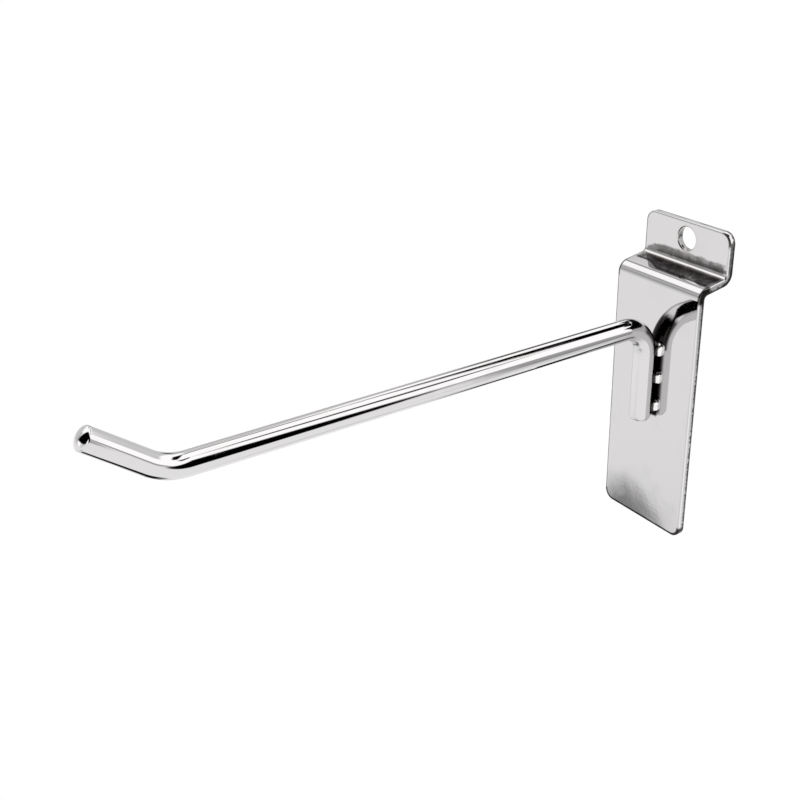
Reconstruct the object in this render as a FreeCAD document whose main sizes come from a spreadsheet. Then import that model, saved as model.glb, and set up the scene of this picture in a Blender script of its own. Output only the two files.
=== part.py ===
"""Slatwall display hook: a bent wire rod welded to the face of a folded sheet back plate.

Frame, in millimetres: X runs across the plate, Y runs into the wall, Z is up. The origin is on
the plate's rear face, which lies against the wall panel, midway across the plate and level with
the axis of the rod's straight run. The rod reaches out along -Y.
"""
import FreeCAD
import Part
import Sketcher
import math
import os

# Alias, value in millimetres or degrees, and what it measures.
SIZES = [
    ("plate_width", 30.0, "folded sheet, across"),
    ("sheet_thickness", 2.0, "folded sheet, gauge"),
    ("plate_drop", 61.0, "run axis down to the plate's lower edge"),
    ("shoulder_rise", 10.0, "run axis up to the centre of the front fold"),
    ("fold_radius", 1.2, "both folds, inside"),
    ("ledge_slope", 9.4, "climb of the ledge towards the wall, degrees"),
    ("lip_gap", 7.5, "panel plane back to the tongue's front face"),
    ("tongue_height", 16.0, "centre of the front fold up to the tongue's top edge"),
    ("corner_radius", 3.0, "outer corners of the sheet"),
    ("edge_round", 0.3, "rolled rim of the sheet's front face"),
    ("hole_diameter", 6.3, "screw hole in the tongue"),
    ("hole_depth", 4.8, "tongue's top edge down to the hole's centre"),
    ("rod_diameter", 5.9, "wire"),
    ("weld_standoff", 0.1, "plate's face to the back of the rod's leg"),
    ("leg_drop", 28.3, "run axis down to the leg's cut end"),
    ("leg_bend_radius", 8.0, "bend from leg to run, on the wire's axis"),
    ("run_length", 124.5, "straight wire between the two bends"),
    ("tip_bend_radius", 15.0, "bend from run to tip, on the wire's axis"),
    ("tip_angle", 37.0, "rise of the tip above the run, degrees"),
    ("tip_length", 15.4, "straight wire after the tip bend"),
    ("crown_radius", 4.6, "sphere of the tip's domed end"),
    ("crown_edge_round", 0.9, "dome into the side of the wire"),
    ("leg_edge_round", 1.5, "rim of the leg's cut end"),
    ("bead_half_width", 4.2, "weld bead, middle of the rod to its side"),
    ("bead_half_length", 1.7, "weld bead, half its length along the rod"),
    ("bead_rise", 2.4, "weld bead, out from the plate's face under the rod"),
    ("first_bead_drop", 7.6, "run axis down to the top weld bead"),
    ("last_bead_inset", 4.3, "bottom weld bead down to the leg's cut end"),
]
BEAD_NAMES = ["weld_bead_top", "weld_bead_middle", "weld_bead_bottom"]

# The sketches are first drawn at these values, and their dimensions then follow the sheet.
DRAWN = {alias: value for alias, value, meaning in SIZES}

# Where the rod's leg stands, and where the straight part of its tip ends.
LEG_OFFSET = "Sizes.sheet_thickness + Sizes.weld_standoff + Sizes.rod_diameter / 2"
DRAWN_LEG_OFFSET = DRAWN["sheet_thickness"] + DRAWN["weld_standoff"] + DRAWN["rod_diameter"] / 2
TIP_END_REACH = (
    f"{LEG_OFFSET} + Sizes.leg_bend_radius + Sizes.run_length"
    " + Sizes.tip_bend_radius * sin(Sizes.tip_angle) + Sizes.tip_length * cos(Sizes.tip_angle)"
)
TIP_END_RISE = (
    "Sizes.tip_bend_radius * (1 - cos(Sizes.tip_angle)) + Sizes.tip_length * sin(Sizes.tip_angle)"
)

# The numbers by which a sketch's constraints call a curve's points, and the sketch's axes.
START, END, CENTRE = 1, 2, 3
HORIZONTAL_AXIS, VERTICAL_AXIS = -1, -2
ORIGIN = (HORIZONTAL_AXIS, START)

RIGHT_ANGLE = math.pi / 2
TINY = 1e-4


def near(first, second):
    return abs(first - second) < TINY


def make_sheet(doc):
    """Keep the driving dimensions in a spreadsheet, one alias to a row."""
    sheet = doc.addObject("Spreadsheet::Sheet", "Sizes")
    for row, (alias, value, meaning) in enumerate(SIZES, start=1):
        sheet.set(f"A{row}", str(value))
        sheet.setAlias(f"A{row}", alias)
        sheet.set(f"B{row}", meaning)
    doc.recompute()


def make_sketch(body, name, role):
    """Start a sketch on one of the body's own origin planes."""
    plane = next(item for item in body.Origin.OriginFeatures if item.Role == role)
    sketch = body.newObject("Sketcher::SketchObject", name)
    sketch.AttachmentSupport = [(plane, "")]
    sketch.MapMode = "FlatFace"
    return sketch


def point(across, up):
    return FreeCAD.Vector(across, up, 0)


def add_line(sketch, start, end):
    return sketch.addGeometry(Part.LineSegment(point(*start), point(*end)), False)


def add_circle(sketch, centre, radius):
    return sketch.addGeometry(Part.Circle(point(*centre), FreeCAD.Vector(0, 0, 1), radius), False)


def add_arc(sketch, centre, radius, start_angle, end_angle):
    """Add an arc that runs anticlockwise between two angles in radians."""
    circle = Part.Circle(point(*centre), FreeCAD.Vector(0, 0, 1), radius)
    return sketch.addGeometry(Part.ArcOfCircle(circle, start_angle, end_angle), False)


def constrain(sketch, *terms):
    return sketch.addConstraint(Sketcher.Constraint(*terms))


def join(sketch, kind, pairs):
    """Make the ends in each pair meet: kind is Coincident, or Tangent for a smooth joint."""
    for first, first_end, second, second_end in pairs:
        constrain(sketch, kind, first, first_end, second, second_end)


def dimension(sketch, name, formula, *terms):
    """Add a named dimension that follows a formula on the sheet."""
    sketch.renameConstraint(constrain(sketch, *terms), name)
    sketch.setExpression(f"Constraints.{name}", formula)


def draw_plate_profile(sketch):
    """Draw the folded sheet from the side, Y across and Z up. Returns the front face's lines."""
    gauge = DRAWN["sheet_thickness"]
    inner = DRAWN["fold_radius"]
    outer = inner + gauge
    slope = math.radians(DRAWN["ledge_slope"])
    drop = DRAWN["plate_drop"]
    shoulder = DRAWN["shoulder_rise"]
    gap = DRAWN["lip_gap"]
    top = shoulder + DRAWN["tongue_height"]
    # The ledge is tangent to the front fold from above and to the rear fold from below.
    front_centre = (inner, shoulder)
    offset = inner + outer
    climb = ((gap - 2 * inner) * math.sin(slope) + offset) / math.cos(slope)
    rear_centre = (gap - inner, shoulder + climb)

    def square_to_ledge(centre, distance):
        return (centre[0] - distance * math.sin(slope), centre[1] + distance * math.cos(slope))

    front = add_line(sketch, (-gauge, -drop), (-gauge, shoulder))
    front_fold = add_arc(sketch, front_centre, outer, RIGHT_ANGLE + slope, 2 * RIGHT_ANGLE)
    ledge_top = add_line(
        sketch, square_to_ledge(front_centre, outer), square_to_ledge(rear_centre, -inner))
    rear_fold = add_arc(sketch, rear_centre, inner, slope - RIGHT_ANGLE, 0)
    tongue_front = add_line(sketch, (gap, rear_centre[1]), (gap, top))
    tongue_top = add_line(sketch, (gap, top), (gap + gauge, top))
    tongue_rear = add_line(sketch, (gap + gauge, top), (gap + gauge, rear_centre[1]))
    rear_fold_outside = add_arc(sketch, rear_centre, outer, slope - RIGHT_ANGLE, 0)
    ledge_under = add_line(
        sketch, square_to_ledge(rear_centre, -outer), square_to_ledge(front_centre, inner))
    front_fold_inside = add_arc(sketch, front_centre, inner, RIGHT_ANGLE + slope, 2 * RIGHT_ANGLE)
    rear = add_line(sketch, (0, shoulder), (0, -drop))
    bottom = add_line(sketch, (0, -drop), (-gauge, -drop))

    join(sketch, "Coincident", [
        (tongue_front, END, tongue_top, START),
        (tongue_top, END, tongue_rear, START),
        (rear, END, bottom, START),
        (bottom, END, front, START),
        (front_fold, CENTRE, front_fold_inside, CENTRE),
        (rear_fold, CENTRE, rear_fold_outside, CENTRE),
    ])
    join(sketch, "Tangent", [
        (front, END, front_fold, END),
        (front_fold, START, ledge_top, START),
        (ledge_top, END, rear_fold, START),
        (rear_fold, END, tongue_front, START),
        (tongue_rear, END, rear_fold_outside, END),
        (rear_fold_outside, START, ledge_under, START),
        (ledge_under, END, front_fold_inside, START),
        (front_fold_inside, END, rear, START),
    ])
    for line in (front, tongue_front, tongue_rear, rear):
        constrain(sketch, "Vertical", line)
    for line in (tongue_top, bottom):
        constrain(sketch, "Horizontal", line)
    constrain(sketch, "PointOnObject", rear, END, VERTICAL_AXIS)
    dimension(sketch, "gauge", "Sizes.sheet_thickness",
              "DistanceX", bottom, END, bottom, START, gauge)
    dimension(sketch, "tongue_gauge", "Sizes.sheet_thickness",
              "DistanceX", tongue_top, START, tongue_top, END, gauge)
    dimension(sketch, "drop", "Sizes.plate_drop",
              "DistanceY", rear, END, *ORIGIN, drop)
    dimension(sketch, "shoulder", "Sizes.shoulder_rise",
              "DistanceY", *ORIGIN, front_fold, CENTRE, shoulder)
    dimension(sketch, "tongue", "Sizes.tongue_height",
              "DistanceY", front_fold, CENTRE, tongue_front, END, top - shoulder)
    dimension(sketch, "gap", "Sizes.lip_gap",
              "DistanceX", *ORIGIN, tongue_front, END, gap)
    dimension(sketch, "front_fold_radius", "Sizes.fold_radius", "Radius", front_fold_inside, inner)
    dimension(sketch, "rear_fold_radius", "Sizes.fold_radius", "Radius", rear_fold, inner)
    dimension(sketch, "slope", "Sizes.ledge_slope", "Angle", ledge_top, slope)
    return [front, front_fold, ledge_top, rear_fold, tongue_front]


def round_edges(body, name, base, is_chosen, formula):
    """Round the edges of a feature that a test picks out."""
    names = [f"Edge{i}" for i, edge in enumerate(base.Shape.Edges, start=1) if is_chosen(edge)]
    if not names:
        raise RuntimeError(f"{name} found no edge to round")
    fillet = body.newObject("PartDesign::Fillet", name)
    fillet.Base = (base, names)
    fillet.setExpression("Radius", formula)
    body.Document.recompute()
    return fillet


def make_back_plate(doc):
    """Fold the sheet, round its corners, roll its front rim and punch the screw hole."""
    body = doc.addObject("PartDesign::Body", "back_plate")
    profile = make_sketch(body, "folded_profile", "YZ_Plane")
    front_lines = draw_plate_profile(profile)
    folded = body.newObject("PartDesign::Pad", "folded_sheet")
    folded.Profile = profile
    folded.SideType = "Symmetric"
    folded.setExpression("Length", "Sizes.plate_width")
    doc.recompute()

    bounds = folded.Shape.BoundBox
    front_curves = [profile.Geometry[index].toShape() for index in front_lines]

    def is_end_level(height):
        return near(height, bounds.ZMin) or near(height, bounds.ZMax)

    def is_outer_corner(edge):
        """True for the edges through the sheet at its lower and upper corners."""
        box = edge.BoundBox
        return near(box.XLength, 0) and near(box.ZLength, 0) and is_end_level(box.ZMin)

    def is_front_rim(edge):
        """True for the edges round the front face, but not for those where a fold starts."""
        middle = edge.valueAt((edge.FirstParameter + edge.LastParameter) / 2)
        where = Part.Vertex(middle.y, middle.z, 0)
        on_front = any(curve.distToShape(where)[0] < TINY for curve in front_curves)
        starts_fold = near(middle.x, 0) and not is_end_level(middle.z)
        return on_front and not starts_fold

    cornered = round_edges(
        body, "rounded_corners", folded, is_outer_corner, "Sizes.corner_radius")
    rolled = round_edges(body, "rolled_rim", cornered, is_front_rim, "Sizes.edge_round")

    hole_height = DRAWN["shoulder_rise"] + DRAWN["tongue_height"] - DRAWN["hole_depth"]
    hole_sketch = make_sketch(body, "hole_outline", "XZ_Plane")
    hole = add_circle(hole_sketch, (0, hole_height), DRAWN["hole_diameter"] / 2)
    constrain(hole_sketch, "PointOnObject", hole, CENTRE, VERTICAL_AXIS)
    dimension(hole_sketch, "height",
              "Sizes.shoulder_rise + Sizes.tongue_height - Sizes.hole_depth",
              "DistanceY", *ORIGIN, hole, CENTRE, hole_height)
    dimension(hole_sketch, "diameter", "Sizes.hole_diameter",
              "Diameter", hole, DRAWN["hole_diameter"])
    punched = body.newObject("PartDesign::Pocket", "screw_hole")
    punched.Profile = hole_sketch
    punched.SideType = "Symmetric"
    punched.Type = "ThroughAll"
    doc.recompute()
    if punched.Shape.Volume > rolled.Shape.Volume - TINY:
        raise RuntimeError("the screw hole cut nothing")
    return body


def draw_rod_path(sketch):
    """Draw the wire's axis from the leg's cut end to the end of the straight tip."""
    leg_across = -DRAWN_LEG_OFFSET
    leg_radius = DRAWN["leg_bend_radius"]
    tip_radius = DRAWN["tip_bend_radius"]
    rise = math.radians(DRAWN["tip_angle"])
    run_start = leg_across - leg_radius
    run_end = run_start - DRAWN["run_length"]
    tip_start = (run_end - tip_radius * math.sin(rise), tip_radius * (1 - math.cos(rise)))
    tip_end = (
        tip_start[0] - DRAWN["tip_length"] * math.cos(rise),
        tip_start[1] + DRAWN["tip_length"] * math.sin(rise),
    )
    leg = add_line(sketch, (leg_across, -DRAWN["leg_drop"]), (leg_across, -leg_radius))
    leg_bend = add_arc(sketch, (run_start, -leg_radius), leg_radius, 0, RIGHT_ANGLE)
    run = add_line(sketch, (run_start, 0), (run_end, 0))
    tip_bend = add_arc(
        sketch, (run_end, tip_radius), tip_radius, -RIGHT_ANGLE - rise, -RIGHT_ANGLE)
    tip = add_line(sketch, tip_start, tip_end)

    join(sketch, "Tangent", [
        (leg, END, leg_bend, START),
        (leg_bend, END, run, START),
        (run, END, tip_bend, END),
        (tip_bend, START, tip, START),
    ])
    constrain(sketch, "Vertical", leg)
    constrain(sketch, "Horizontal", run)
    constrain(sketch, "PointOnObject", run, START, HORIZONTAL_AXIS)
    dimension(sketch, "leg_offset", LEG_OFFSET, "DistanceX", leg, START, *ORIGIN, -leg_across)
    dimension(sketch, "leg_drop", "Sizes.leg_drop",
              "DistanceY", leg, START, *ORIGIN, DRAWN["leg_drop"])
    dimension(sketch, "leg_bend", "Sizes.leg_bend_radius", "Radius", leg_bend, leg_radius)
    dimension(sketch, "run", "Sizes.run_length",
              "DistanceX", run, END, run, START, DRAWN["run_length"])
    dimension(sketch, "tip_bend", "Sizes.tip_bend_radius", "Radius", tip_bend, tip_radius)
    dimension(sketch, "tip_rise", "180 - Sizes.tip_angle", "Angle", tip, math.pi - rise)
    dimension(sketch, "tip_length", "Sizes.tip_length", "Distance", tip, DRAWN["tip_length"])


def draw_crown_profile(sketch):
    """Draw half of the domed end, along the tip's axis from the end of the straight wire."""
    wire_radius = DRAWN["rod_diameter"] / 2
    crown = DRAWN["crown_radius"]
    edge = DRAWN["crown_edge_round"]
    edge_centre = (0, wire_radius - edge)
    crown_centre = -math.sqrt((crown - edge) ** 2 - edge_centre[1] ** 2)
    meeting = math.atan2(edge_centre[1], -crown_centre)
    apex = (crown_centre + crown, 0)

    base = add_line(sketch, (0, 0), (0, wire_radius))
    edge_arc = add_arc(sketch, edge_centre, edge, meeting, RIGHT_ANGLE)
    crown_arc = add_arc(sketch, (crown_centre, 0), crown, 0, meeting)
    axis = add_line(sketch, apex, (0, 0))

    join(sketch, "Coincident", [
        (base, START, *ORIGIN),
        (base, END, edge_arc, END),
        (crown_arc, START, axis, START),
        (axis, END, *ORIGIN),
    ])
    join(sketch, "Tangent", [(edge_arc, START, crown_arc, END)])
    constrain(sketch, "Vertical", base)
    constrain(sketch, "Horizontal", axis)
    constrain(sketch, "PointOnObject", edge_arc, CENTRE, VERTICAL_AXIS)
    constrain(sketch, "PointOnObject", crown_arc, CENTRE, HORIZONTAL_AXIS)
    dimension(sketch, "wire_radius", "Sizes.rod_diameter / 2",
              "DistanceY", base, START, base, END, wire_radius)
    dimension(sketch, "edge_round", "Sizes.crown_edge_round", "Radius", edge_arc, edge)
    dimension(sketch, "crown", "Sizes.crown_radius", "Radius", crown_arc, crown)


def make_hook_rod(doc):
    """Sweep the wire along its path, dome its tip and round the cut end of its leg."""
    body = doc.addObject("PartDesign::Body", "hook_rod")
    path = make_sketch(body, "rod_path", "YZ_Plane")
    draw_rod_path(path)
    section = make_sketch(body, "rod_section", "XY_Plane")
    section.setExpression(".AttachmentOffset.Base.z", "-Sizes.leg_drop")
    circle = add_circle(section, (0, -DRAWN_LEG_OFFSET), DRAWN["rod_diameter"] / 2)
    constrain(section, "PointOnObject", circle, CENTRE, VERTICAL_AXIS)
    dimension(section, "leg_offset", LEG_OFFSET,
              "DistanceY", circle, CENTRE, *ORIGIN, DRAWN_LEG_OFFSET)
    dimension(section, "diameter", "Sizes.rod_diameter", "Diameter", circle, DRAWN["rod_diameter"])
    doc.recompute()
    wire = body.newObject("PartDesign::AdditivePipe", "bent_wire")
    wire.Profile = section
    wire.Spine = (path, [f"Edge{i}" for i in range(1, len(path.Shape.Edges) + 1)])
    doc.recompute()

    crown_sketch = make_sketch(body, "crown_profile", "YZ_Plane")
    draw_crown_profile(crown_sketch)
    crown_sketch.setExpression(".AttachmentOffset.Base.x", f"-({TIP_END_REACH})")
    crown_sketch.setExpression(".AttachmentOffset.Base.y", TIP_END_RISE)
    crown_sketch.AttachmentOffset.Rotation.Axis = FreeCAD.Vector(0, 0, 1)
    crown_sketch.setExpression(".AttachmentOffset.Rotation.Angle", "180 - Sizes.tip_angle")
    crown = body.newObject("PartDesign::Revolution", "domed_tip")
    crown.Profile = crown_sketch
    crown.ReferenceAxis = (crown_sketch, ["H_Axis"])
    doc.recompute()

    lowest = crown.Shape.BoundBox.ZMin

    def is_leg_rim(edge):
        return near(edge.BoundBox.ZMin, lowest) and near(edge.BoundBox.ZMax, lowest)

    round_edges(body, "leg_end", crown, is_leg_rim, "Sizes.leg_edge_round")
    return body


def make_weld_bead(doc, name, index, rod):
    """Raise one weld bead on the plate's face and cut it to the rod that it holds.

    The beads are evenly spaced from the top of the leg to a little above its cut end.
    """
    share = index / (len(BEAD_NAMES) - 1)
    last_drop = "(Sizes.leg_drop - Sizes.last_bead_inset)"
    drop = f"Sizes.first_bead_drop * {1 - share} + {last_drop} * {share}"
    mound = doc.addObject("Part::Ellipsoid", f"{name}_mound")
    mound.setExpression("Radius1", "Sizes.bead_half_length")
    mound.setExpression("Radius2", "Sizes.bead_half_width")
    mound.setExpression("Radius3", "Sizes.bead_rise")
    half_turn = 180
    mound.Angle3 = half_turn
    mound.Placement.Rotation = FreeCAD.Rotation(FreeCAD.Vector(0, 0, 1), half_turn)
    mound.setExpression(".Placement.Base.y", "-Sizes.sheet_thickness")
    mound.setExpression(".Placement.Base.z", f"-({drop})")
    bead = doc.addObject("Part::Cut", name)
    bead.Base = mound
    bead.Tool = rod
    return bead


def check_document(doc, pieces):
    """Stop if anything in the document failed or a piece isn't one sound solid."""
    for item in doc.Objects:
        if "Invalid" in item.State or "Error" in item.State:
            raise RuntimeError(f"{item.Name} failed: {item.State}")
    for piece in pieces:
        if piece.Shape.isNull() or not piece.Shape.isValid() or len(piece.Shape.Solids) != 1:
            raise RuntimeError(f"{piece.Label} is not one sound solid")


def write_pieces(pieces):
    os.makedirs("parts", exist_ok=True)
    for piece in pieces:
        piece.Shape.exportStep(f"parts/{piece.Label}.step")
        box = piece.Shape.optimalBoundingBox(True, False)
        print(
            f"{piece.Label}: {piece.Shape.Volume:.1f} mm3,"
            f" X {box.XMin:.2f} to {box.XMax:.2f},"
            f" Y {box.YMin:.2f} to {box.YMax:.2f},"
            f" Z {box.ZMin:.2f} to {box.ZMax:.2f}"
        )


def main():
    doc = FreeCAD.newDocument("slatwall_hook")
    make_sheet(doc)
    plate = make_back_plate(doc)
    rod = make_hook_rod(doc)
    beads = [make_weld_bead(doc, name, index, rod) for index, name in enumerate(BEAD_NAMES)]
    pieces = [plate, rod] + beads
    for piece in pieces:
        piece.Label = piece.Name
    doc.recompute()
    check_document(doc, pieces)
    write_pieces(pieces)


main()
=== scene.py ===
# %% [markdown]
# # A chrome hook for a slotted wall panel
# Shops hang goods on panels with long grooves. The hook is one bent wire, spot welded to a folded
# steel plate whose upper lip drops into a groove, and the whole thing is bright chrome plated.
# The lesson goes in the order a maker would take: the view first, then the finishes, the wire, the
# plate, the welds, and last the studio, because polished chrome looks like whatever stands round it.
#
# The imported model comes first. It is the fixed frame that every visible piece is fitted to, so
# the size of each of its parts is printed now.

import math

import bmesh
import bpy
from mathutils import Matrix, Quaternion, Vector


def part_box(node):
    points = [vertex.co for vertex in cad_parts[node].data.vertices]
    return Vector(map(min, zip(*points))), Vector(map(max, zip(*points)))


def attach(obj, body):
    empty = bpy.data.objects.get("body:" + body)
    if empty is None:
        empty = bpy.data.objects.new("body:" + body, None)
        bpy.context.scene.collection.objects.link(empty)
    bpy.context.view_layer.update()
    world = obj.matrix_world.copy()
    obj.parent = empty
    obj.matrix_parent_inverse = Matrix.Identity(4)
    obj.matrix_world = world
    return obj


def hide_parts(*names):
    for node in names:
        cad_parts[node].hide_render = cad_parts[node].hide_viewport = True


MM = 0.001

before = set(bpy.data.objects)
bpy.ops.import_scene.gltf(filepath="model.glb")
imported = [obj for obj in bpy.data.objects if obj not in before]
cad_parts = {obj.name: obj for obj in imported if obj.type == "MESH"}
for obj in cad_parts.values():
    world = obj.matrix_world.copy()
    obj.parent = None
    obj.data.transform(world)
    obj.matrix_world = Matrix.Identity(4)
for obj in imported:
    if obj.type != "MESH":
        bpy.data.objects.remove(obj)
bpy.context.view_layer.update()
print("CAD nodes:", ", ".join(sorted(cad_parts)))
for node in sorted(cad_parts):
    low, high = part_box(node)
    size = [round((b - a) / MM, 2) for a, b in zip(low, high)]
    print(f"  {node}: {size} mm")

# %% [markdown]
# ## The view
# The photograph was taken from the front right, a little above the hook, so the plate turns away
# and the rod comes forward to the left. The camera could be aimed with a tracking constraint, but a
# plain matrix built from two angles and a small roll says exactly where it stands, and it stays put
# when another view is asked for. The lens is given in millimetres for a 36 mm wide sensor.

# %% Camera
# the place in metres, the angles in degrees, the sensor and the lens in millimetres
CAMERA_PLACE = (0.211043, -0.218478, 0.119464)
AZIMUTH, ELEVATION, ROLL = (math.radians(a) for a in (57.4391, 25.5704, -1.5285))
SENSOR_WIDTH = 36.0
LENS = 53.1542

backwards = Vector((
    math.sin(AZIMUTH) * math.cos(ELEVATION),
    -math.cos(AZIMUTH) * math.cos(ELEVATION),
    math.sin(ELEVATION),
))
lens_data = bpy.data.cameras.new("camera")
lens_data.sensor_width = SENSOR_WIDTH
lens_data.lens = LENS
lens_data.clip_start = 0.005
lens_data.clip_end = 50.0
camera = bpy.data.objects.new("camera", lens_data)
camera.location = CAMERA_PLACE
camera.rotation_mode = "QUATERNION"
camera.rotation_quaternion = backwards.to_track_quat("Z", "Y") @ Quaternion((0, 0, 1), ROLL)
bpy.context.scene.collection.objects.link(camera)
bpy.context.scene.camera = camera
bpy.context.scene.view_settings.view_transform = "Standard"
print(f"camera {Vector(CAMERA_PLACE).length:.3f} m from the wall face, lens {LENS:.1f} mm")

# %% [markdown]
# ## Nodes from Python
# The finishes and the repeated shapes are node trees. Wiring them one link at a time hides the
# arithmetic, so a small class lets Python's own operators add the Math nodes, also when the number
# stands on the left as in 1 - mask. Every other node comes from one method, which takes the kind of
# node, its settings and what goes into its sockets.

# %% A class for sockets and one for trees
class Value:
    """One output socket, on which Python's operators add Math nodes."""

    def __init__(self, net, socket):
        self.net = net
        self.socket = socket

    def maths(self, operation, *others):
        return self.net.add("ShaderNodeMath", {"operation": operation}, dict(enumerate((self, *others))))

    def __add__(self, other):
        return self.maths("ADD", other)

    def __sub__(self, other):
        return self.maths("SUBTRACT", other)

    def __rsub__(self, other):
        return self.net.add("ShaderNodeMath", {"operation": "SUBTRACT"}, {0: other, 1: self})

    def __mul__(self, other):
        return self.maths("MULTIPLY", other)

    def __truediv__(self, other):
        return self.maths("DIVIDE", other)

    def __rtruediv__(self, other):
        return self.net.add("ShaderNodeMath", {"operation": "DIVIDE"}, {0: other, 1: self})

    def __pow__(self, other):
        return self.maths("POWER", other)

    def __abs__(self):
        return self.maths("ABSOLUTE")

    def at_least(self, other):
        return self.maths("MAXIMUM", other)

    def at_most(self, other):
        return self.maths("MINIMUM", other)

    __radd__ = __add__
    __rmul__ = __mul__


class Net:
    """A node tree filled in by calls."""

    def __init__(self, tree):
        self.tree = tree

    def add(self, kind, settings=None, sockets=None, output=0):
        """Adds a node, sets it, fills or links its sockets, and returns one of its outputs."""
        node = self.tree.nodes.new(kind)
        for name, setting in (settings or {}).items():
            setattr(node, name, setting)
        for key, value in (sockets or {}).items():
            if isinstance(value, Value):
                self.tree.links.new(value.socket, node.inputs[key])
            else:
                node.inputs[key].default_value = value
        return Value(self, node.outputs[output]) if node.outputs else node


print("node helpers ready:", ", ".join(c.__name__ for c in (Value, Net)))

# %% [markdown]
# ## Bright chrome
# The real finish is a thin layer of chromium over nickel. It is a mirror, but not a perfect one: the
# steel's own surface still shows through it as orange peel and long soft waves, and handling leaves a
# haze. One flat metal colour with a low roughness would look like plastic foil. Here the finishes share
# four ingredients, which are lines from drawing or rolling, long waves, orange peel and haze, and
# each piece adds the marks of its own making. Shade is also painted into the colour: hollows and
# narrow gaps get painted shade, some of it a little brown, and the plate's rims a painted reflection
# and a painted highlight.
#
# Lengths in the finishes are in millimetres. A height map is given in micrometres, because polished
# metal shows every slope: a wave one micrometre high and one millimetre long already bends a
# reflected line.

# %% Tones of the plating and of the painted shade and highlight, from the painted rim highlight to the black painted into gaps
MICRO = 1e-6
MIRROR_GLOSS = 0.045
# a painted highlight for the very edge of the plate's rims, brighter than chromium
RIM_HIGHLIGHT = (0.93, 0.92, 0.915)
CHROMIUM = (0.66, 0.648, 0.652)
ROLLED_CHROMIUM = (0.628, 0.616, 0.62)
WORN_NICKEL = (0.62, 0.585, 0.53)
HAZED_CHROMIUM = (0.59, 0.58, 0.581)
# From here down the tones are mostly painted shade and painted reflection for hollows, gaps and rims; the
# torn steel tone is the sheared sides' own, and the dull tone and the black also serve the wire's cut end,
# the weld's pits and the torn part of the sides
WARM_CREASE_SHADE = (0.27, 0.225, 0.19)
TORN_STEEL = (0.20, 0.195, 0.193)
DULL_PLATE_AND_SHADE = (0.125, 0.117, 0.113)
DARK_RIM = (0.10, 0.095, 0.093)
LEDGE_SHADE = (0.055, 0.05, 0.048)
DARK_GAP = (0.016, 0.012, 0.011)
print("chromium", CHROMIUM, "- hollows", DULL_PLATE_AND_SHADE)


# %% Ingredients of the finishes
def new_finish(name):
    """A material with a fully metallic surface, its net and its shader node."""
    material = bpy.data.materials.new(name)
    material.use_nodes = True
    net = Net(material.node_tree)
    shader = material.node_tree.nodes["Principled BSDF"]
    shader.inputs["Metallic"].default_value = 1.0
    return material, net, shader


def own_place(net):
    """The piece's own coordinates in metres."""
    return net.add("ShaderNodeTexCoord", None, None, "Object")


def in_millimetres(place):
    return place.net.add("ShaderNodeVectorMath", {"operation": "SCALE"}, {0: place, "Scale": 1 / MM})


def parts_of(vector):
    """The three numbers of a vector."""
    split = vector.net.add("ShaderNodeSeparateXYZ", None, {"Vector": vector}).socket.node
    return [Value(vector.net, socket) for socket in split.outputs]


def distance(first, second):
    """How far the point (first, second) lies from the origin."""
    return (first * first + second * second) ** 0.5


def noise(place, scale, detail=2.0):
    return place.net.add("ShaderNodeTexNoise", None, {"Vector": place, "Scale": scale, "Detail": detail})


def fade(value, low, high):
    """0 at or below low, 1 at or above high, with a smooth step between. low may be the larger."""
    return value.net.add(
        "ShaderNodeMapRange",
        {"interpolation_type": "SMOOTHSTEP"},
        {"Value": value, "From Min": low, "From Max": high},
    )


def band(value, start, full, last, end):
    """0 up to start, 1 from full to last and 0 from end on."""
    return fade(value, start, full) * fade(value, end, last)


def handling(place, scale):
    """Cloudy haze from fingers and cloths, 0 to 1, mostly 0."""
    return fade(noise(place, scale, 4.0), 0.5, 0.72)


print("ingredients ready, mirror roughness", MIRROR_GLOSS)


# %% Colours in layers, and the three maps of a finish
def blend(amount, first, second):
    """A colour between two others. Colours go through a Mix node, which keeps their hue."""
    mix = amount.net.tree.nodes.new("ShaderNodeMix")
    mix.data_type = "RGBA"
    amount.net.tree.links.new(amount.socket, mix.inputs["Factor"])
    for socket, colour in ((mix.inputs[6], first), (mix.inputs[7], second)):
        if isinstance(colour, Value):
            amount.net.tree.links.new(colour.socket, socket)
        else:
            socket.default_value = (*colour, 1.0)
    return Value(amount.net, mix.outputs[2])


def layered(tone, *layers):
    """A tone with others laid over it, each given as (how much of it covers, tone)."""
    for amount, colour in layers:
        tone = blend(amount, tone, colour)
    return tone


def surface(shader, colour, roughness, height):
    """Wires the three maps of a finish. The height is in micrometres."""
    net = colour.net
    bump = net.add("ShaderNodeBump", None, {"Height": height, "Distance": MICRO, "Strength": 1.0})
    net.tree.links.new(colour.socket, shader.inputs["Base Color"])
    net.tree.links.new(roughness.socket, shader.inputs["Roughness"])
    net.tree.links.new(bump.socket, shader.inputs["Normal"])


print("helpers ready:", ", ".join(h.__name__ for h in (blend, layered, surface)))

# %% [markdown]
# ## From a tree to a piece
# The carrier object with the modifier goes.

# %% Helpers for geometry trees
def new_tree(name, sizes):
    """A geometry tree with one named input for each size, and the material as its last input."""
    tree = bpy.data.node_groups.new(name, "GeometryNodeTree")
    face = tree.interface
    face.new_socket("Geometry", in_out="INPUT", socket_type="NodeSocketGeometry")
    for size, value in sizes.items():
        whole = isinstance(value, int)
        socket = face.new_socket(
            size, in_out="INPUT", socket_type="NodeSocketInt" if whole else "NodeSocketFloat"
        )
        socket.default_value = value
    face.new_socket("Finish", in_out="INPUT", socket_type="NodeSocketMaterial")
    face.new_socket("Geometry", in_out="OUTPUT", socket_type="NodeSocketGeometry")
    net = Net(tree)
    entry = tree.nodes.new("NodeGroupInput")
    inputs = {socket.name: Value(net, socket) for socket in entry.outputs if socket.name}
    return tree, net, inputs


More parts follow.
